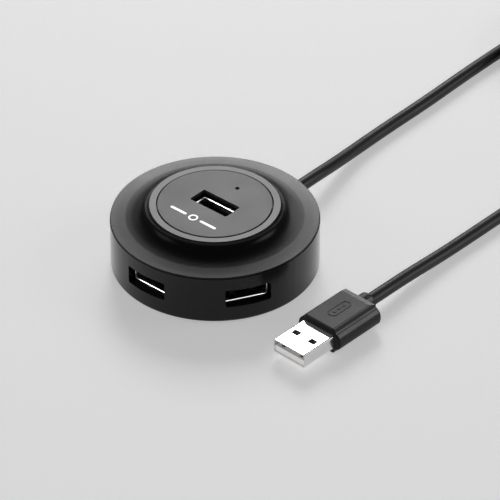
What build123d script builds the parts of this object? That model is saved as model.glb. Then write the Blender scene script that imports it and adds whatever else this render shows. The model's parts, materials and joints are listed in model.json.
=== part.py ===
from build123d import *
import math
import os

# Round desktop USB hub: a flat cylindrical base, a flared cover that rises in a cove to a round
# pedestal, one vertical socket in the top disc, three sockets in the side wall 60 degrees apart,
# and a captive lead that ends in a type A plug. Millimetres, +Z up, origin at the centre of the
# circle the feet stand on, -Y is the front (the middle side socket), +Y is the lead's exit.

os.makedirs("parts", exist_ok=True)

# ---------------------------------------------------------------- driving dimensions
R_WALL = 31.0          # outside radius of the base wall
T_WALL = 2.0
Z_BASE = 0.5           # underside of the base, clear of the surface by the feet
T_FLOOR = 2.0
Z_SEAM = 15.8          # top of the base wall
SEAM = 0.12            # height of the shadow gap under the cover
R_COVER = 30.88        # outside radius of the cover's rim
R_RING = 19.55         # outside radius of the pedestal's flat ring
Z_RING = 20.85
R_DISC = 17.0
R_DISC_SEAT = 17.22
Z_DISC = 21.0          # top of the disc, the highest face of the hub
T_DISC = 1.0
T_GLUE = 0.2
T_DECK = 1.2           # plate of the cover under the disc

TOP_CUT = (14.0, 6.3, 0.5)     # opening in disc and deck: width, depth, corner radius
SIDE_CUT = (14.0, 5.9, 0.5)    # openings in the side wall
SIDE_ANGLES = {"front": 0.0, "right": 60.0, "left": -60.0}

PORT_N = 27.5          # the side sockets' mouths lie this far from the axis
PORT_Z = 8.78          # and their middles this high
SH_W, SH_H, SH_T = 13.1, 5.72, 0.3   # socket shell: outside width and height, sheet
SIDE_L = 14.0
TOP_MOUTH_Z = 18.55

PCB_R, PCB_T = 27.2, 1.2
PCB_TOP = PORT_Z - SH_H / 2
PCB_BOT = PCB_TOP - PCB_T

SCREW_R = 24.0
SCREW_ANGLES = (30.0, -30.0, 135.0, -135.0)

LED_Y = 10.0
LED_HOLE = 1.3

CORD_D = 4.0
CORD_Z = 6.5           # height at which the lead leaves the wall
RELIEF_END = 37.5      # the strain relief's outer end

# the plug lies beside the hub and points forwards, turned a little about the upright
PLUG_TIP_X, PLUG_TIP_Y, PLUG_Z = 49.48, -24.17, 4.3
PLUG_TURN = 2.0
# along the plug's own axis: tip, front and back of the overmould, end of its collar
PLUG_TIP, PLUG_FACE, PLUG_BACK, PLUG_NECK = -23.8, -11.2, 7.0, 10.5
PL_W, PL_H = 12.0, 4.5

COIL_X, COIL_Y = 22.0, 164.0
COIL_R_IN, COIL_R_OUT = 19.0, 28.0
COIL_H = 8.3


def write(name, shape):
    export_step(shape, f"parts/{name}.step")


def at(phi):
    """Rotation that carries the -Y direction to a side socket's direction."""
    return Rot(0, 0, phi)


def direction(phi, r):
    a = math.radians(phi)
    return (r * math.sin(a), -r * math.cos(a))


def box(x0, x1, y0, y1, z0, z1):
    return Pos((x0 + x1) / 2, (y0 + y1) / 2, (z0 + z1) / 2) * Box(x1 - x0, y1 - y0, z1 - z0)


def cyl(x, y, r, z0, z1):
    return Pos(x, y, (z0 + z1) / 2) * Cylinder(r, z1 - z0)


def cone(x, y, r0, r1, z0, z1):
    return Pos(x, y, (z0 + z1) / 2) * Cone(r0, r1, z1 - z0)


def slab(w, h, rad, depth):
    """A rounded rectangle w by h in XZ, running depth along Y, centred."""
    s = Plane.XZ * RectangleRounded(w, h, rad)
    return extrude(s, amount=depth / 2, both=True)


def thick_line(points, t):
    """A closed outline that follows the points with thickness t."""
    left, right = [], []
    n = len(points)
    for i, (x, y) in enumerate(points):
        dirs = []
        if i > 0:
            dx, dy = x - points[i - 1][0], y - points[i - 1][1]
            d = math.hypot(dx, dy)
            dirs.append((dx / d, dy / d))
        if i < n - 1:
            dx, dy = points[i + 1][0] - x, points[i + 1][1] - y
            d = math.hypot(dx, dy)
            dirs.append((dx / d, dy / d))
        nx = -sum(d[1] for d in dirs)
        ny = sum(d[0] for d in dirs)
        m = math.hypot(nx, ny)
        nx, ny = nx / m, ny / m
        c = nx * -dirs[0][1] + ny * dirs[0][0]
        k = t / 2 / max(c, 0.3)
        left.append((x + nx * k, y + ny * k))
        right.append((x - nx * k, y - ny * k))
    return left + right[::-1]


# ---------------------------------------------------------------- base shell
def base_shell():
    zb, zf = Z_BASE, Z_BASE + T_FLOOR
    ri = R_WALL - T_WALL
    with BuildSketch(Plane.XZ) as sk:
        with BuildLine():
            Polyline((0, zb), (R_WALL - 0.9, zb))
            RadiusArc((R_WALL - 0.9, zb), (R_WALL, zb + 0.9), -0.9)
            Polyline((R_WALL, zb + 0.9), (R_WALL, Z_SEAM - 0.1))
            RadiusArc((R_WALL, Z_SEAM - 0.1), (R_WALL - 0.1, Z_SEAM), -0.1)
            Polyline((R_WALL - 0.1, Z_SEAM), (ri, Z_SEAM), (ri, zf + 1.0))
            RadiusArc((ri, zf + 1.0), (ri - 1.0, zf), 1.0)
            Polyline((ri - 1.0, zf), (0, zf), (0, zb))
        make_face()
    shell = revolve(sk.sketch, axis=Axis.Z)
    inside = cyl(0, 0, ri + 0.5, zf - 0.5, 13.3)
    for phi in SIDE_ANGLES.values():
        land = box(-8.8, 8.8, -ri - 0.4, -PORT_N - 0.1, zf - 0.3, 13.3) & inside
        shell += at(phi) * land
    for phi in SIDE_ANGLES.values():
        w, h, r = SIDE_CUT
        cut = Pos(0, -30.0, PORT_Z) * slab(w, h, r, 9.0)
        shell -= at(phi) * cut
    for a in SCREW_ANGLES:
        x, y = direction(a, SCREW_R)
        shell += cyl(x, y, 3.2, zf - 0.2, PCB_BOT)
    for a in SCREW_ANGLES:
        x, y = direction(a, SCREW_R)
        shell -= cyl(x, y, 4.4, 0.0, 1.0)
        shell -= cyl(x, y, 2.3, 0.9, 2.6)
        shell -= cyl(x, y, 1.15, 2.5, PCB_BOT + 0.5)
    # ribs that carry the board between the posts, and the slot for the strain relief
    for a in (75.0, 105.0, -75.0, -105.0, 165.0, -165.0):
        x, y = direction(a, 25.8)
        shell += Pos(x, y, (zf - 0.2 + PCB_BOT) / 2) * (Rot(0, 0, a) * Box(3.0, 1.2, PCB_BOT - zf + 0.2))
    notch = box(-2.95, 2.95, 27.0, 33.0, CORD_Z, 20.0)
    notch += Pos(0, 30.0, CORD_Z) * (Rot(90, 0, 0) * Cylinder(2.95, 6.0))
    shell -= notch
    return shell


# ---------------------------------------------------------------- cover
def cover():
    z0 = Z_SEAM + SEAM
    deck = Z_DISC - T_DISC - T_GLUE
    under = deck - T_DECK
    with BuildSketch(Plane.XZ) as sk:
        with BuildLine():
            Polyline((0, deck), (R_DISC_SEAT, deck), (R_DISC_SEAT, Z_RING - 0.1), (R_DISC_SEAT + 0.1, Z_RING),
                     (R_RING - 0.25, Z_RING))
            RadiusArc((R_RING - 0.25, Z_RING), (R_RING + 0.05, Z_RING - 0.3), 0.3)
            Bezier((R_RING + 0.05, Z_RING - 0.3), (19.8, 18.3), (22.7, 17.2), (26.4, 16.75))
            Bezier((26.4, 16.75), (27.7, 16.592), (29.2, 16.42), (R_COVER - 0.15, 16.3))
            RadiusArc((R_COVER - 0.15, 16.3), (R_COVER, 16.15), 0.15)
            Polyline((R_COVER, 16.15), (R_COVER, z0), (28.85, z0), (28.85, 13.8), (28.65, 13.6), (27.5, 13.6), (27.5, 14.72),
                     (26.4, 14.8))
            Bezier((26.4, 14.8), (21.6, 15.05), (18.7, 16.0), (18.1, under))
            Polyline((18.1, under), (0, under), (0, deck))
        make_face()
    body = revolve(sk.sketch, axis=Axis.Z)
    w, h, r = TOP_CUT
    hole = Pos(0, 0, 19.5) * extrude(RectangleRounded(w, h, r), amount=4.0, both=True)
    body -= hole
    # guide for the light pipe
    body += cyl(0, LED_Y, 1.8, 12.0, under + 0.3)
    body -= cyl(0, LED_Y, 1.0, 11.0, under)
    body -= cyl(0, LED_Y, LED_HOLE / 2, under - 0.5, 22.0)
    # screw bosses
    for a in SCREW_ANGLES:
        x, y = direction(a, SCREW_R)
        body += cyl(x, y, 2.7, PCB_TOP + 0.05, 15.6)
    for a in SCREW_ANGLES:
        x, y = direction(a, SCREW_R)
        body -= cyl(x, y, 1.05, PCB_TOP - 1.0, 12.6)
    # hold-down ribs over the side sockets
    for phi in SIDE_ANGLES.values():
        body += at(phi) * box(-4.5, 4.5, -22.6, -21.4, PORT_Z + SH_H / 2 + 0.12, 15.4)
    # tongue that closes the slot above the strain relief
    ring = cyl(0, 0, R_WALL - 0.12, 5.0, z0 + 0.2) - cyl(0, 0, R_WALL - T_WALL - 0.12, 4.0, z0 + 1.0)
    tab = box(-2.85, 2.85, 27.0, 33.0, CORD_Z + 0.4, z0 + 0.1) & ring
    tab -= Pos(0, 30.0, CORD_Z) * (Rot(90, 0, 0) * Cylinder(2.97, 8.0))
    body += tab
    return body


def disc():
    d = cyl(0, 0, R_DISC, Z_DISC - T_DISC, Z_DISC)
    d = fillet(d.edges().filter_by(GeomType.CIRCLE).group_by(Axis.Z)[-1], 0.15)
    w, h, r = TOP_CUT
    d -= Pos(0, 0, Z_DISC) * extrude(RectangleRounded(w, h, r), amount=4.0, both=True)
    d -= cyl(0, LED_Y, LED_HOLE / 2, 15.0, 25.0)
    return d


def disc_glue():
    z1 = Z_DISC - T_DISC
    g = cyl(0, 0, 16.4, z1 - T_GLUE, z1)
    g -= Pos(0, 0, z1) * extrude(RectangleRounded(17.0, 9.5, 1.5), amount=2.0, both=True)
    g -= cyl(0, LED_Y, 1.6, 15.0, 25.0)
    return g


def feet():
    out = []
    for a in SCREW_ANGLES:
        x, y = direction(a, SCREW_R)
        f = Cylinder(4.25, 0.98)
        f = fillet(f.edges().group_by(Axis.Z)[0], 0.25)
        out.append(Pos(x, y, 0.49) * f)
    return Compound(children=out)


def case_screws():
    out = []
    for a in SCREW_ANGLES:
        x, y = direction(a, SCREW_R)
        s = cyl(0, 0, 2.0, 1.25, 2.58)
        s = fillet(s.edges().group_by(Axis.Z)[0], 0.45)
        s += cyl(0, 0, 1.0, 2.5, 11.0) + cone(0, 0, 1.0, 0.35, 11.0, 12.0)
        s -= box(-1.1, 1.1, -0.2, 0.2, 1.0, 1.95) + box(-0.2, 0.2, -1.1, 1.1, 1.0, 1.95)
        out.append(Pos(x, y, 0) * s)
    return Compound(children=out)


# ---------------------------------------------------------------- sockets, drawn with the mouth at y = 0
PIN_X = (-3.5, -1.0, 1.0, 3.5)
TONGUE_Z0, TONGUE_Z1 = 0.06, 1.90


def socket_shell(length, vertical):
    s = Pos(0, length / 2, 0) * slab(SH_W, SH_H, 0.75, length)
    inner_l = length + 1.0 if vertical else length - SH_T
    s -= Pos(0, inner_l / 2 - 0.5, 0) * slab(SH_W - 2 * SH_T, SH_H - 2 * SH_T, 0.45, inner_l + 1.0)
    if not vertical:
        s -= box(-5.4, 5.4, length - 3.4, length - SH_T - 0.05, -4.0, -SH_H / 2 + SH_T + 0.05)
    # sprung fingers: a window with a tab bent inwards
    for side in (1, -1):
        for x in (-3.1, 3.1):
            s -= box(x - 1.2, x + 1.2, 2.9, 7.9, side * SH_H / 2 - 0.6, side * SH_H / 2 + 0.6)
            tab = box(x - 0.85, x + 0.85, -4.75, 0.2, -0.125, 0.125)
            tab = Pos(0, 7.9, side * (SH_H / 2 - 0.15)) * (Rot(side * 3.6, 0, 0) * tab)
            s += tab
        s -= box(side * SH_W / 2 - 0.6, side * SH_W / 2 + 0.6, 2.9, 7.9, -1.1, 1.1)
        tab = box(-0.125, 0.125, -4.75, 0.2, -0.75, 0.75)
        tab = Pos(side * (SH_W / 2 - 0.15), 7.9, 0) * (Rot(0, 0, -side * 3.0) * tab)
        s += tab
    # legs
    for side in (1, -1):
        x = side * (SH_W / 2 - SH_T / 2)
        if vertical:
            s += box(x - 0.15, x + 0.15, length - 0.5, length + PCB_T + 0.7, -0.6, 0.6)
        else:
            s += box(x - 0.15, x + 0.15, 9.1, 10.3, -SH_H / 2 - PCB_T - 0.7, -SH_H / 2 + 1.0)
    return s


def contact_path(length, vertical):
    p = [(2.75, 0.62), (3.5, 0.42), (4.9, -0.24), (5.6, -0.24), (8.6, 0.42)]
    if vertical:
        return p + [(length + PCB_T + 0.7, 0.42)]
    return p + [(length - 1.7, 0.42), (length - 1.7, -SH_H / 2 - PCB_T - 0.7)]


def socket_contacts(length, vertical):
    out = []
    outline = thick_line(contact_path(length, vertical), 0.25)
    with BuildSketch(Plane.YZ) as sk:
        with BuildLine():
            Polyline(*outline, close=True)
        make_face()
    for x in PIN_X:
        out.append(Pos(x, 0, 0) * extrude(sk.sketch, amount=0.45, both=True))
    return out


def socket_insulator(length, vertical):
    b0, b1 = length - 3.5, length - (0.0 if vertical else 0.35)
    s = box(-6.15, 6.15, b0, b1, -2.46, 2.46)
    s = chamfer(s.edges().filter_by(Axis.Y), 0.3)
    tongue = box(-5.55, 5.55, 2.0, b0 + 0.2, TONGUE_Z0, TONGUE_Z1)
    tongue = chamfer(tongue.edges().filter_by(Axis.X).group_by(Axis.Y)[0], 0.3)
    s += tongue
    for x in PIN_X:
        s -= box(x - 0.55, x + 0.55, 2.6, length + 1.0 if vertical else length - 1.5, TONGUE_Z0 - 0.2, 0.8)
        if vertical:
            s -= box(x - 0.55, x + 0.55, b0 - 0.1, length + 1.0, 0.2, 0.8)
        else:
            s -= box(x - 0.55, x + 0.55, length - 1.95, length - 1.5, -4.0, 0.8)
    return s


def side_place(phi):
    return at(phi) * Pos(0, -PORT_N, PORT_Z)


TOP_L = TOP_MOUTH_Z - PCB_TOP
TOP_PLACE = Pos(0, 0, TOP_MOUTH_Z) * Rot(-90, 0, 0)


# ---------------------------------------------------------------- board and what is on it
def board():
    b = cyl(0, 0, PCB_R, PCB_BOT, PCB_TOP)
    for a in SCREW_ANGLES:
        x, y = direction(a, SCREW_R)
        b -= cyl(x, y, 1.3, PCB_BOT - 1, PCB_TOP + 1)
    pins = []
    for x in PIN_X:
        pins.append((x, 0.42, 0.5))
    for side in (1, -1):
        pins.append((side * (SH_W / 2 - SH_T / 2), 0.0, 0.75))
    for phi in SIDE_ANGLES.values():
        for x, y, r in [(x, -PORT_N + SIDE_L - 1.7, 0.5) for x in PIN_X] + [
            (s * (SH_W / 2 - SH_T / 2), -PORT_N + 9.7, 0.75) for s in (1, -1)
        ]:
            a = math.radians(phi)
            pins.append((x * math.cos(a) - y * math.sin(a), x * math.sin(a) + y * math.cos(a), r))
    for x, y, r in pins:
        b -= cyl(x, y, r, PCB_BOT - 1, PCB_TOP + 1)
    return b, pins


def chip():
    z = PCB_TOP + 0.12
    c = box(-13.45, -3.55, 12.0, 15.9, z, z + 1.5)
    c = chamfer(c.edges().group_by(Axis.Z)[-1], 0.18)
    c -= cyl(-12.65, 12.8, 0.35, z + 1.42, z + 2)
    return c


def chip_leads():
    out = []
    z = PCB_TOP
    for i in range(8):
        x = -8.5 + (i - 3.5) * 1.27
        for side, y in ((-1, 12.0), (1, 15.9)):
            p = [(y, z + 0.8), (y + side * 0.45, z + 0.8), (y + side * 0.65, z + 0.1), (y + side * 1.2, z + 0.1)]
            with BuildSketch(Plane.YZ) as sk:
                with BuildLine():
                    Polyline(*thick_line(p, 0.18), close=True)
                make_face()
            out.append(Pos(x, 0, 0) * extrude(sk.sketch, amount=0.2, both=True))
    return Compound(children=out)


def crystal():
    z = PCB_TOP
    base = Pos(11.5, 9.4, z + 0.35) * extrude(RectangleRounded(11.2, 4.7, 2.3), amount=0.3, both=True)
    can = Pos(11.5, 9.4, z + 2.1) * extrude(RectangleRounded(10.2, 3.8, 1.85), amount=1.5, both=True)
    can = fillet(can.edges().group_by(Axis.Z)[-1], 0.4)
    return base + can


def small_parts():
    z = PCB_TOP
    caps, res = [], []
    for x, y, a in ((-17.6, 11.6, 90), (-12.5, 8.6, 0), (-9.0, 8.6, 0), (-5.2, 18.6, 90), (4.0, 13.2, 90),
                    (17.5, 4.5, 0), (-18.5, 8.0, 30)):
        c = box(-0.8, 0.8, -0.42, 0.42, 0, 0.75)
        caps.append(Pos(x, y, z) * (Rot(0, 0, a) * c))
    for x, y, a in ((-8.2, 19.0, 90), (-10.6, 19.0, 90), (-13.0, 19.0, 90), (3.6, 8.2, 0), (14.5, 13.4, 0),
                    (-1.7, 12.6, 90), (6.2, 17.4, 90)):
        c = box(-0.8, 0.8, -0.4, 0.4, 0, 0.45)
        res.append(Pos(x, y, z) * (Rot(0, 0, a) * c))
    return Compound(children=caps), Compound(children=res)


def bulk_caps():
    out = []
    for x, y in ((10.6, 17.2), (20.4, 10.6)):
        c = box(-1.75, 1.75, -1.4, 1.4, 0, 1.9)
        c = chamfer(c.edges().group_by(Axis.Z)[-1], 0.2)
        out.append(Pos(x, y, PCB_TOP) * c)
    return Compound(children=out)


def light_pipe():
    under = Z_DISC - T_DISC - T_GLUE - T_DECK
    p = cyl(0, LED_Y, 0.92, PCB_TOP + 0.95, under - 0.15)
    p += cyl(0, LED_Y, 0.5, under - 0.5, Z_DISC - 1.3)
    p = p + cyl(0, LED_Y, 1.35, 10.6, 11.6)
    return p


def led():
    b = box(-0.8, 0.8, LED_Y - 0.45, LED_Y + 0.45, PCB_TOP, PCB_TOP + 0.35)
    b += Pos(0, LED_Y, PCB_TOP + 0.5) * Box(1.0, 0.8, 0.35)
    return b


# ---------------------------------------------------------------- lead
def strain_relief():
    ri = R_WALL - T_WALL
    pts = [(0, PCB_R + 0.1), (3.7, PCB_R + 0.1), (3.7, ri - 0.45), (2.85, ri - 0.45), (2.85, R_WALL + 0.1), (3.5, R_WALL + 0.1),
           (3.5, R_WALL + 1.1), (3.25, R_WALL + 1.3)]
    y, r = R_WALL + 1.3, 3.25
    rings = 3
    step = (RELIEF_END - 0.8 - y) / rings
    for i in range(rings):
        r2 = r - 0.28
        pts += [(r2 + 0.12, y + step * 0.62), (r2 - 0.38, y + step * 0.66), (r2 - 0.40, y + step * 0.94), (r2, y + step)]
        y += step
        r = r2
    pts += [(r - 0.05, RELIEF_END - 0.3), (2.15, RELIEF_END), (0, RELIEF_END)]
    with BuildSketch(Plane.XY) as sk:
        with BuildLine():
            Polyline(*pts, close=True)
        make_face()
    return Pos(0, 0, CORD_Z) * revolve(sk.sketch, axis=Axis.Y)


def route_radii(points):
    radii = []
    for a, b, c in zip(points, points[1:], points[2:]):
        u, v = Vector(*b) - Vector(*a), Vector(*c) - Vector(*b)
        turn = math.radians(u.get_angle(v))
        radii.append(0.45 * min(u.length, v.length) / math.tan(turn / 2))
    return radii


def tube(points, d, label):
    radii = route_radii(points)
    path = FilletPolyline(*points, radius=radii)
    w = path.wire() if hasattr(path, "wire") else path
    start = w.position_at(0)
    tangent = w.tangent_at(0)
    prof = Plane(origin=start, z_dir=tangent) * Circle(d / 2)
    s = sweep(prof, path=w, transition=Transition.RIGHT)
    want = math.pi * d * d / 4 * w.length
    print(label, "length", round(w.length, 1), "volume", round(s.volume, 1), "section x length", round(want, 1),
          "radii", [round(r, 1) for r in radii])
    return s, w


def ring_point(angle, r, z):
    """Clockwise from the coil's leftmost point, in turns."""
    a = math.pi - 2 * math.pi * angle
    return (COIL_X + r * math.cos(a), COIL_Y + r * math.sin(a), z)


def plug_axis_point(y):
    a = math.radians(PLUG_TURN)
    return (PLUG_TIP_X + (y - PLUG_TIP) * math.sin(a), PLUG_TIP_Y + (y - PLUG_TIP) * math.cos(a), PLUG_Z)


HUB_RUN = [
    (0.0, RELIEF_END, CORD_Z),
    (0.0, 46.0, CORD_Z),
    (-1.8, 57.5, 4.3),
    (-3.7, 70.5, 2.4),
    (-4.2, 86.0, 2.05),
    (-4.0, 103.0, 2.05),
    (-4.4, 120.0, 2.05),
    (-4.5, 136.0, 2.05),
    (-4.3, 150.0, 2.05),
]
PLUG_RUN = [
    ring_point(-0.13, 30.6, 6.35),
    ring_point(-0.06, 31.7, 6.5),
    ring_point(0.02, 32.2, 6.4),
    ring_point(0.10, 32.3, 5.6),
    ring_point(0.18, 32.3, 3.8),
    ring_point(0.26, 32.1, 2.3),
    ring_point(0.34, 31.9, 2.05),
    ring_point(0.42, 31.7, 2.05),
    ring_point(0.50, 31.1, 2.05),
    (52.6, 147.0, 2.05),
    (51.9, 127.0, 2.05),
    (51.6, 106.0, 2.05),
    (51.7, 84.0, 2.05),
    (51.1, 63.0, 2.05),
    (50.6, 44.0, 2.2),
    (50.6, 28.0, 3.5),
    plug_axis_point(PLUG_NECK + 7.2),
    plug_axis_point(PLUG_NECK),
]


def coil():
    s = Pos(COIL_X, COIL_Y, COIL_H / 2) * (Cylinder(COIL_R_OUT, COIL_H) - Cylinder(COIL_R_IN, COIL_H))
    return s


def core_wires():
    out = {}
    for name, ax, px in (("red_core", -1.5, -3.9), ("white_core", -0.5, -1.3), ("green_core", 0.5, 1.3), ("black_core", 1.5, 3.9)):
        pts = [(ax, PCB_R + 0.1, 6.75), (ax, 26.0, 6.75), (px, 23.2, 7.1), (px * 1.02, 21.0, PCB_TOP + 0.5)]
        path = FilletPolyline(*pts, radius=[0.8, 0.9])
        w = path.wire()
        s = sweep(Plane(origin=w.position_at(0), z_dir=w.tangent_at(0)) * Circle(0.42), path=w)
        out[name] = s
    return out


def core_solder():
    out = []
    for px in (-3.9, -1.3, 1.3, 3.9):
        s = Pos(px * 1.02, 19.85, PCB_TOP) * Sphere(0.95)
        s &= box(-30, 30, 18.0, 20.5, PCB_TOP, PCB_TOP + 3)
        out.append(s)
    return Compound(children=out)


# ---------------------------------------------------------------- plug, drawn about its own axis and then placed
PLUG = Pos(PLUG_TIP_X, PLUG_TIP_Y, PLUG_Z) * Rot(0, 0, -PLUG_TURN) * Pos(0, -PLUG_TIP, 0)


# section of the overmould: flat top, a hollow shoulder, and a bulging side; each corner with its radius
PLUG_SECTION = [((5.4, 4.3), 0.55), ((6.15, 3.0), 0.9), ((7.0, 2.55), 1.4), ((7.8, 1.7), 1.3), ((8.1, 0.6), 1.8)]


def plug_overmould():
    quarter = [p for p, _ in PLUG_SECTION]
    right = quarter + [(x, -y) for x, y in reversed(quarter)]
    outline = right + [(-x, y) for x, y in reversed(right)]
    with BuildSketch(Plane.XZ) as sk:
        with BuildLine():
            Polyline(*outline, close=True)
        make_face()
        for (x, y), r in PLUG_SECTION:
            same = sk.vertices().filter_by(lambda v: abs(abs(v.X) - x) < 0.01 and abs(abs(v.Z) - y) < 0.01)
            if not same:
                same = sk.vertices().filter_by(lambda v: abs(abs(v.X) - x) < 0.01 and abs(abs(v.Y) - y) < 0.01)
            fillet(same, r)
    body = extrude(sk.sketch, amount=-(PLUG_BACK - PLUG_FACE))
    body = Pos(0, PLUG_FACE - body.bounding_box().min.Y, 0) * body
    body = fillet(body.edges().group_by(Axis.Y)[0], 0.55)
    # the top and underside fall away over the last two millimetres
    for side in (1, -1):
        wedge = Pos(0, PLUG_BACK - 2.3, side * 4.3) * (Rot(-side * 17.0, 0, 0) * box(-12, 12, 0, 6, min(0, side * 4), max(0, side * 4)))
        body -= wedge
    body = fillet(body.edges().group_by(Axis.Y)[-1], 0.7)
    neck = Pos(0, (PLUG_BACK + PLUG_NECK) / 2 - 0.5, 0) * (Rot(90, 0, 0) * Cylinder(3.1, PLUG_NECK - PLUG_BACK + 1.0))
    neck = fillet(neck.edges().group_by(Axis.Y)[-1], 0.7)
    body += neck
    mouth = Pos(0, PLUG_FACE - 1.0 + 4.0, 0) * slab(PL_W + 0.04, PL_H + 0.04, 0.6, 8.0)
    body -= mouth
    body -= box(-5.5, 5.5, -5.05, 1.5, -2.9, 2.9)
    return PLUG * body


def plug_shell():
    s = Pos(0, (PLUG_TIP - 5.05) / 2, 0) * slab(PL_W, PL_H, 0.6, -5.05 - PLUG_TIP)
    s -= Pos(0, (PLUG_TIP - 5.05) / 2, 0) * slab(PL_W - 0.6, PL_H - 0.6, 0.35, 30.0)
    for x in (-3.15, 3.15):
        s -= box(x - 1.25, x + 1.25, PLUG_TIP + 5.5, PLUG_TIP + 7.5, -5, 5)
    # the folded seam runs down the middle of the underside
    s -= box(-0.06, 0.06, PLUG_TIP - 1, -4.0, -PL_H / 2 - 0.5, -PL_H / 2 + 0.5)
    return PLUG * s


def plug_insulator():
    hx = PL_W / 2 - 0.3 - 0.05
    zb = -PL_H / 2 + 0.3 + 0.03
    s = box(-hx, hx, PLUG_TIP + 0.35, -5.1, zb, 0.0)
    s += box(-hx, hx, -12.2, -5.1, zb, PL_H / 2 - 0.33)
    corner = Pos(0, -14.0, 0) * slab(2 * hx, 2 * (PL_H / 2 - 0.33), 0.35, 30.0)
    s = s & corner
    for x, y0 in zip((-3.5, -1.0, 1.0, 3.5), (PLUG_TIP + 1.2, PLUG_TIP + 2.3, PLUG_TIP + 2.3, PLUG_TIP + 1.2)):
        s -= box(x - 0.6, x + 0.6, y0 - 0.1, -5.0, -0.32, 0.01)
        s -= box(x - 0.6, x + 0.6, -12.3, -5.0, -0.32, 0.01)
    return PLUG * s


def plug_contacts():
    out = []
    for x, y0 in zip((-3.5, -1.0, 1.0, 3.5), (PLUG_TIP + 1.2, PLUG_TIP + 2.3, PLUG_TIP + 2.3, PLUG_TIP + 1.2)):
        out.append(PLUG * box(x - 0.5, x + 0.5, y0, -5.1, -0.31, -0.06))
    return Compound(children=out)


def plug_inner():
    s = box(-5.4, 5.4, -5.0, 1.4, -2.8, 2.8)
    s = fillet(s.edges().filter_by(Axis.Y), 0.6)
    return PLUG * s


# ---------------------------------------------------------------- write the nodes
write("base_shell", base_shell())
write("top_cover", cover())
write("top_disc", disc())
write("disc_adhesive", disc_glue())
write("rubber_feet", feet())
write("case_screws", case_screws())

pcb, pin_list = board()
write("main_board", pcb)
for name, phi in SIDE_ANGLES.items():
    place = side_place(phi)
    write(f"{name}_port_shell", place * socket_shell(SIDE_L, False))
    write(f"{name}_port_insulator", place * socket_insulator(SIDE_L, False))
    write(f"{name}_port_contacts", Compound(children=[place * c for c in socket_contacts(SIDE_L, False)]))
write("top_port_shell", TOP_PLACE * socket_shell(TOP_L, True))
write("top_port_insulator", TOP_PLACE * socket_insulator(TOP_L, True))
write("top_port_contacts", Compound(children=[TOP_PLACE * c for c in socket_contacts(TOP_L, True)]))

write("hub_controller_chip", chip())
write("chip_leads", chip_leads())
write("crystal_can", crystal())
caps, res = small_parts()
write("ceramic_capacitors", caps)
write("chip_resistors", res)
write("bulk_capacitors", bulk_caps())
write("status_led", led())
write("led_light_pipe", light_pipe())

write("strain_relief", strain_relief())
for name, wire in core_wires().items():
    write(name, wire)
write("core_solder_joints", core_solder())
hub_run, hub_wire = tube(HUB_RUN, CORD_D, "hub run")
write("lead_hub_run", hub_run)
plug_run, plug_wire = tube(PLUG_RUN, CORD_D, "plug run")
write("lead_plug_run", plug_run)
write("lead_coil", coil())

write("plug_overmould", plug_overmould())
write("plug_shell", plug_shell())
write("plug_insulator", plug_insulator())
write("plug_contacts", plug_contacts())
write("plug_inner_mould", plug_inner())
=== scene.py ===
import json
import math

import bmesh
import bpy
from mathutils import Matrix, Vector


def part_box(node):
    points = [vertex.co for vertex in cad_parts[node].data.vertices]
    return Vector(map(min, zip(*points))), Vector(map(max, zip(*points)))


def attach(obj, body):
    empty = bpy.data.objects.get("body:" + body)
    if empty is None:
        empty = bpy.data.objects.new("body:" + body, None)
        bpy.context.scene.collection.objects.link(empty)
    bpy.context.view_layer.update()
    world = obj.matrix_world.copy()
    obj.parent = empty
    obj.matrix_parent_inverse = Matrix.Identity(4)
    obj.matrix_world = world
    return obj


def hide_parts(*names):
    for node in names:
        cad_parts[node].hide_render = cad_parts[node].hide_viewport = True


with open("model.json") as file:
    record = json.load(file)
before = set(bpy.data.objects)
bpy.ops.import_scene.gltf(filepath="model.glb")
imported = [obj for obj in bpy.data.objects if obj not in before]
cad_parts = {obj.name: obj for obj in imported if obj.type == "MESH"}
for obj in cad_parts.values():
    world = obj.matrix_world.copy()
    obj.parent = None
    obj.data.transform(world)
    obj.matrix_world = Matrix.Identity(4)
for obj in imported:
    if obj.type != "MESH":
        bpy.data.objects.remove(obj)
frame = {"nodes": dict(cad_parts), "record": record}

scene = bpy.context.scene
nodes = frame["nodes"]
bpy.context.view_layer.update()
MM = 0.001

# ------------------------------------------------------------------ camera
AZ, EL, DIST = math.radians(41.0), math.radians(36.04), 1.2
TARGET = Vector((7.77, 6.76, 3.97)) * MM
back = Vector((math.sin(AZ) * math.cos(EL), -math.cos(AZ) * math.cos(EL), math.sin(EL)))
cam_data = bpy.data.cameras.new("camera")
cam_data.sensor_width = 36.0
cam_data.lens = 291.9
cam_data.clip_start, cam_data.clip_end = 0.05, 20.0
cam = bpy.data.objects.new("camera", cam_data)
scene.collection.objects.link(cam)
cam.location = TARGET + back * DIST
cam.rotation_mode = "QUATERNION"
cam.rotation_quaternion = (-back).to_track_quat("-Z", "Y")
scene.camera = cam

# ------------------------------------------------------------------ the lead: one line from the strain relief, through the coil, to the plug
COIL_X, COIL_Y = 22.0, 164.0
PLUG_TIP_X, PLUG_TIP_Y, PLUG_Z = 49.48, -24.17, 4.3
PLUG_TURN = math.radians(2.0)
PLUG_TIP, PLUG_NECK = -23.8, 10.5
RELIEF_END, CORD_Z = 37.5, 6.5


def ring_point(turn, r, z):
    a = math.pi - 2 * math.pi * turn
    return (COIL_X + r * math.cos(a), COIL_Y + r * math.sin(a), z)


def between(x, table):
    for (x0, y0), (x1, y1) in zip(table, table[1:]):
        if x <= x1:
            return y0 + (y1 - y0) * (x - x0) / (x1 - x0)
    return table[-1][1]


def plug_axis_point(y, x=0.0):
    """A point beside the plug's own axis, y along it and x across it."""
    d = y - PLUG_TIP
    return (PLUG_TIP_X + d * math.sin(PLUG_TURN) + x * math.cos(PLUG_TURN),
            PLUG_TIP_Y + d * math.cos(PLUG_TURN) - x * math.sin(PLUG_TURN), PLUG_Z)


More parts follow.
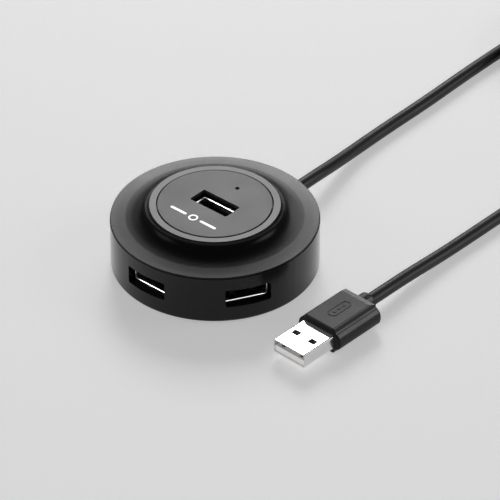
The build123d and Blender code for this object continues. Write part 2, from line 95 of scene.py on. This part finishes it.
hub_run = [
    (0.0, RELIEF_END, CORD_Z), (0.0, 46.0, CORD_Z), (-1.8, 57.5, 4.3), (-3.7, 70.5, 2.4), (-4.2, 86.0, 2.05),
    (-4.0, 103.0, 2.05), (-4.4, 120.0, 2.05), (-4.5, 136.0, 2.05), (-4.3, 150.0, 2.05),
]
radius_of_turn = [
    (0, 26.6), (0.55, 26.6), (0.95, 22.3), (1.5, 22.3), (1.7, 20.6), (1.85, 20.4), (2.0, 21.8), (2.1, 22.4), (2.6, 22.4),
    (2.95, 26.5), (3.6, 26.6), (3.75, 28.6), (3.82, 29.5),
]
height_of_turn = [(0, 2.05), (1.56, 2.05), (1.68, 2.8), (1.95, 6.15), (2.1, 6.15), (3.5, 6.15), (3.82, 6.3)]
coil_turns = [ring_point(i / 16, between(i / 16, radius_of_turn), between(i / 16, height_of_turn)) for i in range(62)]
plug_run = [
    ring_point(-0.13, 30.6, 6.35), ring_point(-0.06, 31.7, 6.5), ring_point(0.02, 32.2, 6.4), ring_point(0.10, 32.3, 5.6),
    ring_point(0.18, 32.3, 3.8), ring_point(0.26, 32.1, 2.3), ring_point(0.34, 31.9, 2.05), ring_point(0.42, 31.7, 2.05),
    ring_point(0.50, 31.1, 2.05), (52.6, 147.0, 2.05), (51.9, 127.0, 2.05), (51.6, 106.0, 2.05), (51.7, 84.0, 2.05),
    (51.1, 63.0, 2.05), (50.6, 44.0, 2.2), (50.6, 28.0, 3.5), plug_axis_point(PLUG_NECK + 7.2), plug_axis_point(PLUG_NECK),
]

lead_curve = bpy.data.curves.new("lead", "CURVE")
lead_curve.dimensions = "3D"
spline = lead_curve.splines.new("NURBS")
route = hub_run + coil_turns + plug_run
spline.points.add(len(route) - 1)
for p, (x, y, z) in zip(spline.points, route):
    p.co = (x * MM, y * MM, z * MM, 1.0)
spline.order_u = 3
spline.use_endpoint_u = True
spline.resolution_u = 10
lead_curve.bevel_depth = 2.0 * MM
lead_curve.bevel_resolution = 8
lead = bpy.data.objects.new("lead", lead_curve)
scene.collection.objects.link(lead)


# ------------------------------------------------------------------ materials
def new_material(name):
    m = bpy.data.materials.new(name)
    m.use_nodes = True
    nt = m.node_tree
    bsdf = nt.nodes["Principled BSDF"]
    return m, nt, bsdf


def link(nt, a, b):
    nt.links.new(a, b)


def noise(nt, coords, scale, detail=2.0, rough=0.5):
    n = nt.nodes.new("ShaderNodeTexNoise")
    n.inputs["Scale"].default_value = scale
    n.inputs["Detail"].default_value = detail
    n.inputs["Roughness"].default_value = rough
    link(nt, coords, n.inputs["Vector"])
    return n.outputs["Fac"]


def mapped(nt, value, lo, hi, from_lo=0.3, from_hi=0.7):
    n = nt.nodes.new("ShaderNodeMapRange")
    n.inputs["From Min"].default_value = from_lo
    n.inputs["From Max"].default_value = from_hi
    n.inputs["To Min"].default_value = lo
    n.inputs["To Max"].default_value = hi
    link(nt, value, n.inputs["Value"])
    return n.outputs["Result"]


def two_colours(nt, factor, a, b):
    n = nt.nodes.new("ShaderNodeMix")
    n.data_type = "RGBA"
    n.inputs["A"].default_value = (*a, 1.0)
    n.inputs["B"].default_value = (*b, 1.0)
    link(nt, factor, n.inputs["Factor"])
    return n.outputs["Result"]


def object_coords(nt, scale=(1, 1, 1)):
    c = nt.nodes.new("ShaderNodeTexCoord")
    if scale == (1, 1, 1):
        return c.outputs["Object"]
    m = nt.nodes.new("ShaderNodeMapping")
    m.inputs["Scale"].default_value = scale
    link(nt, c.outputs["Object"], m.inputs["Vector"])
    return m.outputs["Vector"]


def rounded_edges(nt, radius):
    b = nt.nodes.new("ShaderNodeBevel")
    b.samples = 6
    b.inputs["Radius"].default_value = radius
    return b.outputs["Normal"]


def bump(nt, height, distance, strength=1.0, normal=None):
    b = nt.nodes.new("ShaderNodeBump")
    b.inputs["Distance"].default_value = distance
    b.inputs["Strength"].default_value = strength
    link(nt, height, b.inputs["Height"])
    if normal is not None:
        link(nt, normal, b.inputs["Normal"])
    return b.outputs["Normal"]


def moulded(name, colour, rough, spread=0.04, vary=0.12, grain=0.22, depth=0.006, edge=0.0, ior=1.5, coat=0.0,
            scratches=0.0, metallic=0.0, subsurface=0.0, specular=0.5):
    """A moulded plastic or rubber: a fine spark-eroded grain, slow changes of gloss and of shade."""
    m, nt, s = new_material(name)
    c = object_coords(nt)
    dark = tuple(v * (1 - vary) for v in colour)
    light = tuple(min(1.0, v * (1 + vary)) for v in colour)
    link(nt, two_colours(nt, noise(nt, c, 160.0, 4.0, 0.6), dark, light), s.inputs["Base Color"])
    gloss = noise(nt, c, 70.0, 5.0, 0.65)
    link(nt, mapped(nt, gloss, rough - spread, rough + spread), s.inputs["Roughness"])
    fine = noise(nt, c, 1.0 / (grain * MM), 3.0, 0.6)
    n = rounded_edges(nt, edge * MM) if edge else None
    n = bump(nt, fine, depth * MM, 1.0, n)
    if scratches:
        sc = noise(nt, object_coords(nt, (300.0, 2600.0, 2600.0)), 1.0, 1.0, 0.5)
        n = bump(nt, sc, scratches * MM, 1.0, n)
    link(nt, n, s.inputs["Normal"])
    s.inputs["IOR"].default_value = ior
    s.inputs["Specular IOR Level"].default_value = specular
    s.inputs["Metallic"].default_value = metallic
    if coat:
        s.inputs["Coat Weight"].default_value = coat
        s.inputs["Coat Roughness"].default_value = 0.18
        s.inputs["Coat IOR"].default_value = 1.2
    if subsurface:
        s.inputs["Subsurface Weight"].default_value = subsurface
        s.inputs["Subsurface Scale"].default_value = 0.4 * MM
    return m


def metal(name, colour, rough, along=(1, 0, 0), depth=0.0012, edge=0.1, spread=0.05, smudge=0.04, anisotropic=0.0):
    """Plated sheet: rolling lines along one direction, faint smudges, softened cut edges."""
    m, nt, s = new_material(name)
    c = object_coords(nt)
    scale = tuple(120.0 if a else 5200.0 for a in along)
    lines = noise(nt, object_coords(nt, scale), 1.0, 3.0, 0.7)
    blot = noise(nt, c, 260.0, 4.0, 0.6)
    add = nt.nodes.new("ShaderNodeMath")
    add.operation = "ADD"
    link(nt, mapped(nt, lines, rough - spread, rough + spread), add.inputs[0])
    link(nt, mapped(nt, blot, -smudge, smudge), add.inputs[1])
    link(nt, add.outputs[0], s.inputs["Roughness"])
    dull = tuple(v * 0.9 for v in colour)
    link(nt, two_colours(nt, blot, dull, colour), s.inputs["Base Color"])
    n = rounded_edges(nt, edge * MM) if edge else None
    link(nt, bump(nt, lines, depth * MM, 1.0, n), s.inputs["Normal"])
    s.inputs["Metallic"].default_value = 1.0
    s.inputs["Anisotropic"].default_value = anisotropic
    return m


def circuit_board(name):
    """Solder mask over copper: tracks show as a slightly lighter, raised net, with printed dots."""
    m, nt, s = new_material(name)
    c = object_coords(nt)
    brick = nt.nodes.new("ShaderNodeTexBrick")
    brick.inputs["Scale"].default_value = 420.0
    brick.inputs["Mortar Size"].default_value = 0.035
    brick.inputs["Mortar Smooth"].default_value = 0.2
    brick.inputs["Color1"].default_value = (0, 0, 0, 1)
    brick.inputs["Color2"].default_value = (0, 0, 0, 1)
    brick.inputs["Mortar"].default_value = (1, 1, 1, 1)
    link(nt, c, brick.inputs["Vector"])
    cells = nt.nodes.new("ShaderNodeTexVoronoi")
    cells.inputs["Scale"].default_value = 380.0
    link(nt, c, cells.inputs["Vector"])
    pads = mapped(nt, cells.outputs["Distance"], 1.0, 0.0, 0.08, 0.12)
    both = nt.nodes.new("ShaderNodeMath")
    both.operation = "MAXIMUM"
    link(nt, brick.outputs["Color"], both.inputs[0])
    link(nt, pads, both.inputs[1])
    link(nt, two_colours(nt, both.outputs[0], (0.004, 0.07, 0.025), (0.015, 0.16, 0.06)), s.inputs["Base Color"])
    link(nt, mapped(nt, noise(nt, c, 900.0), 0.22, 0.36), s.inputs["Roughness"])
    link(nt, bump(nt, both.outputs[0], 0.03 * MM), s.inputs["Normal"])
    return m


MAT = {
    "housing_black": moulded("housing_black", (0.009, 0.009, 0.0098), 0.25, spread=0.025, grain=0.20, depth=0.0035, edge=0.12,
                              specular=0.27),
    "disc_grey": moulded("disc_grey", (0.02, 0.02, 0.021), 0.38, spread=0.03, grain=0.26, depth=0.006, edge=0.08,
                          specular=0.34),
    "adhesive": moulded("adhesive", (0.7, 0.7, 0.66), 0.7, grain=0.5, depth=0.03),
    "feet_rubber": moulded("feet_rubber", (0.03, 0.03, 0.031), 0.72, spread=0.06, grain=0.35, depth=0.02, edge=0.15),
    "screw_steel": metal("screw_steel", (0.42, 0.42, 0.44), 0.33, along=(0, 0, 1), depth=0.003),
    "board_green": circuit_board("board_green"),
    "chip_black": moulded("chip_black", (0.018, 0.018, 0.02), 0.55, grain=0.12, depth=0.01, edge=0.05),
    "tinned_steel": metal("tinned_steel", (0.75, 0.75, 0.73), 0.3, depth=0.003, edge=0.05, smudge=0.08),
    "capacitor_tan": moulded("capacitor_tan", (0.42, 0.3, 0.18), 0.45, grain=0.15, depth=0.008, edge=0.05),
    "capacitor_amber": moulded("capacitor_amber", (0.62, 0.34, 0.05), 0.4, grain=0.15, depth=0.008, edge=0.08),
    "led_clear": moulded("led_clear", (0.7, 0.76, 0.8), 0.15, spread=0.05, grain=0.4, depth=0.002, subsurface=0.4),
    "lead_jacket": moulded("lead_jacket", (0.017, 0.017, 0.018), 0.42, spread=0.05, grain=0.30, depth=0.008, edge=0.06, specular=0.3),
    "core_red": moulded("core_red", (0.6, 0.02, 0.015), 0.35, grain=0.3, depth=0.006),
    "core_white": moulded("core_white", (0.8, 0.8, 0.77), 0.35, vary=0.04, grain=0.3, depth=0.006),
    "core_green": moulded("core_green", (0.02, 0.33, 0.06), 0.35, grain=0.3, depth=0.006),
    "core_black": moulded("core_black", (0.02, 0.02, 0.02), 0.35, grain=0.3, depth=0.006),
    "plug_jacket": moulded("plug_jacket", (0.016, 0.016, 0.0171), 0.36, spread=0.03, grain=0.24, depth=0.006, edge=0.12, specular=0.12),
    "plug_nickel": metal("plug_nickel", (0.88, 0.88, 0.885), 0.2, along=(0, 1, 0), depth=0.0010, edge=0.12, anisotropic=0.3),
    "plug_white": moulded("plug_white", (0.82, 0.82, 0.79), 0.42, vary=0.03, grain=0.2, depth=0.006, edge=0.06, subsurface=0.25),
    "port_nickel": metal("port_nickel", (0.7, 0.7, 0.71), 0.3, along=(0, 0, 1), depth=0.0012, edge=0.08),
    "port_black": moulded("port_black", (0.015, 0.015, 0.016), 0.4, grain=0.15, depth=0.005, edge=0.06),
    "contact_gold": metal("contact_gold", (0.5, 0.4, 0.22), 0.3, along=(0, 1, 0), depth=0.0008, edge=0.04),
    "inner_mould": moulded("inner_mould", (0.72, 0.7, 0.62), 0.4, vary=0.05, grain=0.3, depth=0.01, edge=0.1, subsurface=0.3),
}

slots = {s["node"]: s["material_slot"] for s in frame["record"]["subparts"]}
# the wall has the housing's plastic, a little glossier, so its limbs pick up the table
WALL = moulded("wall_black", (0.009, 0.009, 0.0098), 0.22, spread=0.02, grain=0.20, depth=0.0025, edge=0.1, specular=0.16, coat=1.0)
for node, obj in nodes.items():
    obj.data.materials.clear()
    obj.data.materials.append(WALL if node == "base_shell" else MAT[slots[node]])

lead_curve.materials.append(MAT["lead_jacket"])
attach(lead, "root")
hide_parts("lead_hub_run", "lead_coil", "lead_plug_run")


# ------------------------------------------------------------------ a plain printed mark on the disc, and a plain raised one on the plug
def flat_outline(bm, points, thickness, z):
    top = [bm.verts.new((x, y, z + thickness)) for x, y in points]
    low = [bm.verts.new((x, y, z)) for x, y in points]
    bm.faces.new(top)
    bm.faces.new(low[::-1])
    n = len(points)
    for i in range(n):
        j = (i + 1) % n
        bm.faces.new((low[i], low[j], top[j], top[i]))


def ring_outline(bm, x, y, r0, r1, thickness, z, squash=0.0, steps=64):
    """A ring whose straight sides are squash long, so that it can be a circle or a pill along Y."""
    def loop(r, h):
        out = []
        for i in range(steps):
            a = 2 * math.pi * i / steps
            out.append(bm.verts.new((x + r * math.cos(a), y + r * math.sin(a) + math.copysign(squash / 2, math.sin(a)), z + h)))
        return out
    a, b, c, d = loop(r0, 0), loop(r1, 0), loop(r1, thickness), loop(r0, thickness)
    for p, q in ((a, b), (b, c), (c, d), (d, a)):
        for i in range(steps):
            j = (i + 1) % steps
            bm.faces.new((p[i], p[j], q[j], q[i]))


def pill(x0, x1, y, h, steps=10):
    out = []
    for i in range(steps + 1):
        a = -math.pi / 2 + math.pi * i / steps
        out.append((x1 + h / 2 * math.cos(a), y + h / 2 * math.sin(a)))
    for i in range(steps + 1):
        a = math.pi / 2 + math.pi * i / steps
        out.append((x0 + h / 2 * math.cos(a), y + h / 2 * math.sin(a)))
    return out


def finish_mesh(bm, name, material):
    bmesh.ops.recalc_face_normals(bm, faces=bm.faces)
    me = bpy.data.meshes.new(name)
    bm.to_mesh(me)
    bm.free()
    o = bpy.data.objects.new(name, me)
    scene.collection.objects.link(o)
    me.materials.append(material)
    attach(o, "root")
    return o


disc_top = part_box("top_disc")[1][2]
bm = bmesh.new()
ring_outline(bm, 0.0, -9.6 * MM, 0.95 * MM, 1.45 * MM, 0.012 * MM, disc_top)
for side in (-1, 1):
    ends = sorted((side * 3.1 * MM, side * 8.3 * MM))
    flat_outline(bm, pill(ends[0], ends[1], -9.6 * MM, 0.9 * MM), 0.012 * MM, disc_top)
print_mat = moulded("white_print", (0.9, 0.9, 0.89), 0.5, vary=0.05, grain=0.12, depth=0.003)
disc_mark = finish_mesh(bm, "disc_print", print_mat)

# the sockets' mouths end in a small rolled lip, which is the brightest thing in each opening; its nickel is a lighter
# copy of the shell's, a painted highlight
SH_W, SH_H, SH_T, LIP = 13.1, 5.72, 0.3, 0.28
LIP_PLACES = {
    "front": Matrix.Translation(Vector((0, -27.5, 8.78)) * MM),
    "right": Matrix.Rotation(math.radians(60), 4, "Z") @ Matrix.Translation(Vector((0, -27.5, 8.78)) * MM),
    "left": Matrix.Rotation(math.radians(-60), 4, "Z") @ Matrix.Translation(Vector((0, -27.5, 8.78)) * MM),
    "top": Matrix.Translation(Vector((0, 0, 18.55)) * MM) @ Matrix.Rotation(math.radians(-90), 4, "X"),
}


def rounded_loop(bm, w, h, r, y, steps=6):
    """A rounded rectangle w by h in XZ at depth y, in the order of growing angle."""
    out = []
    for cx, cz, a0 in ((1, 1, 0), (-1, 1, 90), (-1, -1, 180), (1, -1, 270)):
        for i in range(steps + 1):
            a = math.radians(a0 + 90 * i / steps)
            out.append(bm.verts.new(((cx * (w / 2 - r) + r * math.cos(a)) * MM, y * MM, (cz * (h / 2 - r) + r * math.sin(a)) * MM)))
    return out


def lip_mesh(place):
    bm = bmesh.new()
    iw, ih = SH_W - 2 * SH_T, SH_H - 2 * SH_T
    section = [(0.0, 0.0), (0.05, -0.12), (0.15, -0.23), (LIP, -0.28), (LIP, 0.0)]
    loops = [rounded_loop(bm, iw + 2 * g, ih + 2 * g, 0.45 + g, y) for g, y in section]
    for a, b in zip(loops, loops[1:] + loops[:1]):
        n = len(a)
        for i in range(n):
            j = (i + 1) % n
            bm.faces.new((a[i], a[j], b[j], b[i]))
    bmesh.ops.transform(bm, matrix=place, verts=bm.verts)
    return bm


# painted highlight: the lip's nickel is lighter than the shell's own nickel, so the lip reads as a bright line
lip_metal_painted_highlight = metal("lip_nickel_painted_highlight", (0.9, 0.9, 0.91), 0.3, along=(0, 0, 1), depth=0.0004, edge=0.0, spread=0.03, smudge=0.02)
lips = [finish_mesh(lip_mesh(place), f"{name}_port_lip", lip_metal_painted_highlight) for name, place in LIP_PLACES.items()]

mould_lo, mould_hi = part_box("plug_overmould")
bm = bmesh.new()
mark_y = -2.4
ring_outline(bm, 0.0, 0.0, 1.25 * MM, 1.6 * MM, 0.10 * MM, mould_hi[2] - 0.01 * MM, squash=5.4 * MM)
for k in (-1, 0, 1):
    flat_outline(bm, [(p[1], p[0] + k * 2.0 * MM) for p in pill(-0.28 * MM, 0.28 * MM, 0.0, 0.8 * MM)], 0.10 * MM, mould_hi[2] - 0.01 * MM)
mark_x, mark_y, _ = plug_axis_point(mark_y)
bmesh.ops.rotate(bm, verts=bm.verts, cent=(0, 0, 0), matrix=Matrix.Rotation(-PLUG_TURN, 3, "Z"))
bmesh.ops.translate(bm, verts=bm.verts, vec=(mark_x * MM, mark_y * MM, 0))
plug_mark = finish_mesh(bm, "plug_mark", MAT["plug_jacket"])

# ------------------------------------------------------------------ floor, light
bpy.ops.mesh.primitive_plane_add(size=6.0, location=(0, 0, 0))
floor = bpy.context.object
floor.name = "floor"
fm, fnt, fs = new_material("floor")
fc = object_coords(fnt)
link(fnt, two_colours(fnt, noise(fnt, fc, 6.0, 3.0), (0.78, 0.78, 0.775), (0.82, 0.82, 0.815)), fs.inputs["Base Color"])
fs.inputs["Roughness"].default_value = 0.6
fs.inputs["Emission Color"].default_value = (1.0, 1.0, 1.0, 1.0)
fs.inputs["Emission Strength"].default_value = 0.42
floor.data.materials.append(fm)

world = bpy.data.worlds.new("world")
scene.world = world
world.use_nodes = True
world.node_tree.nodes["Background"].inputs["Color"].default_value = (1.0, 1.0, 1.0, 1.0)
world.node_tree.nodes["Background"].inputs["Strength"].default_value = 0.05


def softbox(name, azimuth, elevation, distance, width, height, radiance, colour=(1, 1, 1)):
    """azimuth is measured from the camera's own, so 180 is straight behind the object."""
    a = AZ + math.radians(azimuth)
    e = math.radians(elevation)
    d = Vector((math.sin(a) * math.cos(e), -math.cos(a) * math.cos(e), math.sin(e)))
    data = bpy.data.lights.new(name, "AREA")
    data.shape = "RECTANGLE"
    data.size, data.size_y = width, height
    data.energy = radiance * math.pi * width * height
    data.color = colour
    o = bpy.data.objects.new(name, data)
    scene.collection.objects.link(o)
    o.location = d * distance
    o.rotation_mode = "QUATERNION"
    o.rotation_quaternion = d.to_track_quat("Z", "Y")
    return o


# the main lamp is three frames, one behind the other, so that its reflection fades out at the edges
for far, wide_by, high_by, level in ((1.56, 0.42, 0.56, 5.2), (1.60, 0.60, 0.74, 1.4), (1.64, 0.80, 0.88, 0.8)):
    softbox("behind", 180, 33.2, far, wide_by, high_by, level)
softbox("wide", 180, 28, 1.7, 1.7, 0.9, 0.4)
softbox("behind_right", 157, 32, 1.6, 0.34, 0.66, 1.3)
softbox("fill_left", -92, 32, 1.5, 0.7, 0.6, 0.7)
softbox("fill_right", 92, 32, 1.5, 0.7, 0.6, 1.3)


def only_on(lamp, objects):
    group = bpy.data.collections.new(lamp.name + "_only")
    for o in objects:
        group.objects.link(o)
    lamp.light_linking.receiver_collection = group


# small lamps that only plated sheet answers to: they give the thin bright lines in the openings
only_on(softbox("lip_left", -83, 40, 1.3, 0.7, 0.7, 9.0), lips)
only_on(softbox("lip_right", 43, 50, 1.3, 0.5, 0.5, 4.5), lips)
only_on(softbox("lip_side", 95, 32, 1.3, 0.5, 0.5, 6.0), lips)

# soft fill for the plug's mould and the lead, and a lamp that reaches the white tongue inside the plug's tip
jacket = [nodes["plug_overmould"], plug_mark, lead, nodes["strain_relief"]]
only_on(softbox("lead_side", 88, 16, 1.3, 0.5, 0.4, 5.5), [lead, nodes["strain_relief"]])
only_on(softbox("mould_side", 80, 4, 1.3, 0.5, 0.2, 2.4), [nodes["plug_overmould"]])
only_on(softbox("mould_shoulder", 102, 44, 1.3, 0.3, 0.26, 28.0), [nodes["plug_overmould"], plug_mark])
only_on(softbox("mould_bulge", 93, 29, 1.3, 0.4, 0.24, 24.0), [nodes["plug_overmould"]])
only_on(softbox("mould_back", 172, 6, 1.4, 0.6, 0.25, 7.0), [nodes["plug_overmould"]])
only_on(softbox("mould_front", -83, 36, 1.3, 0.6, 0.6, 5.0), jacket)
only_on(softbox("tip", -38, 24, 1.3, 0.6, 0.5, 8.0), [nodes["plug_insulator"]])

# the wall's rounded top edge catches a little light on both flanks, which thins the seam above it
only_on(softbox("rim_left", -92, 30, 1.3, 0.9, 0.5, 4.0), [nodes["base_shell"]])
only_on(softbox("rim_right", 100, 30, 1.3, 0.6, 0.5, 3.0), [nodes["base_shell"]])

# the flat disc and the plug's sheet also answer to lamps on the other sides and above, which show only from there
for turn in (-90, 0, 90):
    only_on(softbox("disc_side", turn, 32, 1.5, 0.7, 0.7, 3.0), [nodes["top_disc"]])
only_on(softbox("disc_overhead", 0, 89, 1.4, 0.7, 0.7, 2.4), [nodes["top_disc"]])
only_on(softbox("shell_front", 0, 26, 1.5, 0.7, 0.5, 0.8), [nodes["plug_shell"]])
only_on(softbox("shell_overhead", 0, 89, 1.4, 0.7, 0.7, 0.8), [nodes["plug_shell"]])

# the print is white enough to stand out from the disc whatever the disc mirrors
only_on(softbox("print", 0, 70, 1.3, 0.6, 0.6, 18.0), [disc_mark])

scene.view_settings.view_transform = "Standard"
scene.view_settings.look = "None"
scene.view_settings.exposure = 0.0
scene.view_settings.gamma = 1.0
